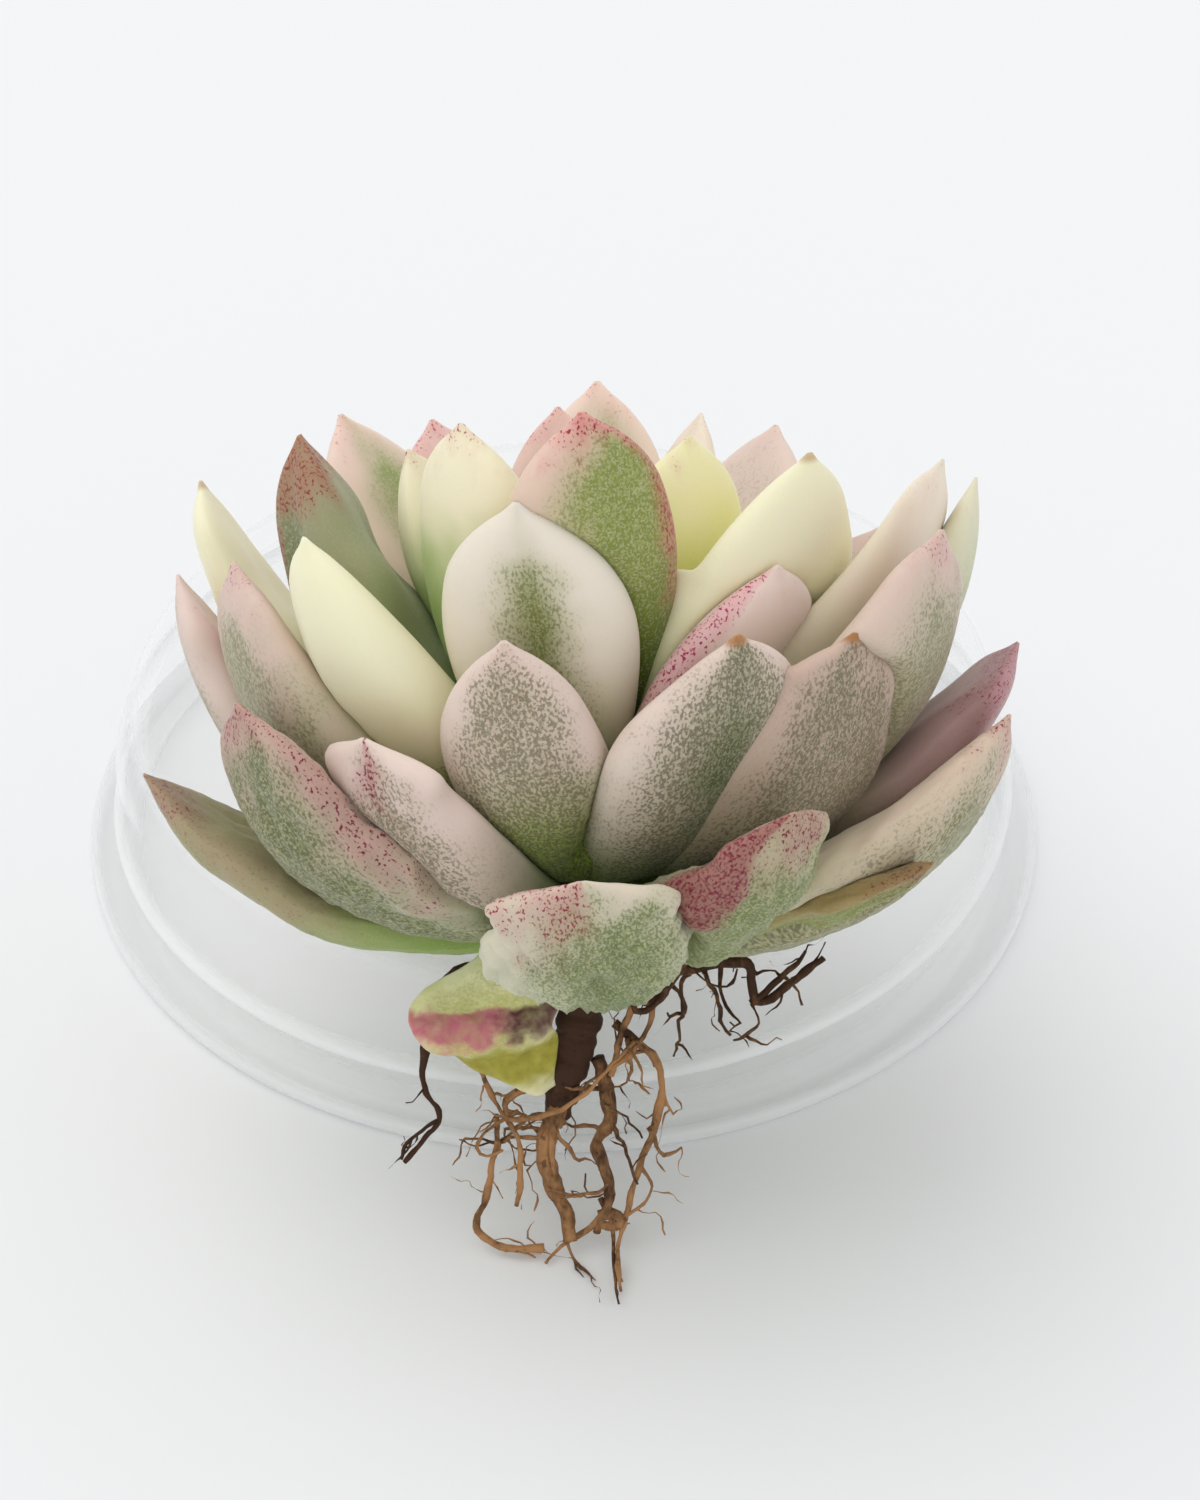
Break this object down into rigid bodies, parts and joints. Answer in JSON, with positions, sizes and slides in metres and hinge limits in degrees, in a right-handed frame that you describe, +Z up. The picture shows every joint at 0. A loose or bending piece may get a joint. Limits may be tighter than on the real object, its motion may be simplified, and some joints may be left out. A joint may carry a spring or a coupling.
{
  "type": "succulent rosette with bare roots resting on an upturned tub",
  "caption": "Bare-rooted succulent with a loose rosette of fat pink, cream and green leaves, its stem and roots hanging over the edge of an upturned round plastic tub.",
  "frame": {"origin": "on the surface it stands on, under the middle of the whole object", "axes": "+Z up, -Y is the front where the stem and roots hang, +X to the right seen from the front"},
  "size_m": [0.062, 0.0764, 0.0536],
  "materials": {
    "leaf_blush": "satin bloom, pinkish cream with grey-green speckle and magenta tip",
    "leaf_cream": "satin bloom, cream yellow shading to pale green at the base",
    "leaf_green": "satin bloom, green middle with pale pink margins",
    "leaf_withered": "shrunken, yellow green and cream with a dull magenta band",
    "bark": "rough dark brown, ringed with old leaf scars",
    "root": "dry tan brown with darker stretches",
    "tub_plastic": "frosted translucent white, moulded"
  },
  "bodies": {
    "root": {"front_root": "root", "hanging_leaf": "leaf_withered", "heart_leaf_01": "leaf_cream", "heart_leaf_02": "leaf_blush", "heart_leaf_03": "leaf_green", "heart_leaf_04": "leaf_cream", "heart_leaf_05": "leaf_green", "heart_leaf_06": "leaf_cream", "heart_leaf_07": "leaf_blush", "heart_leaf_08": "leaf_cream", "inner_leaf_01": "leaf_cream", "inner_leaf_02": "leaf_blush", "inner_leaf_03": "leaf_cream", "inner_leaf_04": "leaf_blush", "inner_leaf_05": "leaf_blush", "inner_leaf_06": "leaf_green", "inner_leaf_07": "leaf_blush", "inner_leaf_08": "leaf_green", "inner_leaf_09": "leaf_green", "inner_leaf_10": "leaf_cream", "inner_leaf_11": "leaf_green", "left_root": "root", "loop_root": "root", "low_leaf_01": "leaf_blush", "low_leaf_02": "leaf_green", "low_leaf_03": "leaf_green", "low_leaf_04": "leaf_blush", "low_leaf_05": "leaf_green", "low_leaf_06": "leaf_blush", "low_leaf_07": "leaf_green", "low_leaf_08": "leaf_green", "low_leaf_09": "leaf_blush", "low_leaf_10": "leaf_green", "low_leaf_11": "leaf_green", "low_leaf_12": "leaf_blush", "low_leaf_13": "leaf_blush", "middle_leaf_01": "leaf_blush", "middle_leaf_02": "leaf_blush", "middle_leaf_03": "leaf_blush", "middle_leaf_04": "leaf_blush", "middle_leaf_05": "leaf_blush", "middle_leaf_06": "leaf_cream", "middle_leaf_07": "leaf_green", "middle_leaf_08": "leaf_cream", "middle_leaf_09": "leaf_blush", "middle_leaf_10": "leaf_green", "middle_leaf_11": "leaf_cream", "middle_leaf_12": "leaf_blush", "middle_leaf_13": "leaf_blush", "middle_leaf_14": "leaf_cream", "right_root": "root", "side_root": "root", "stem": "bark", "tap_root": "root", "thin_root": "root", "tub": "tub_plastic"}
  },
  "joints": []
}
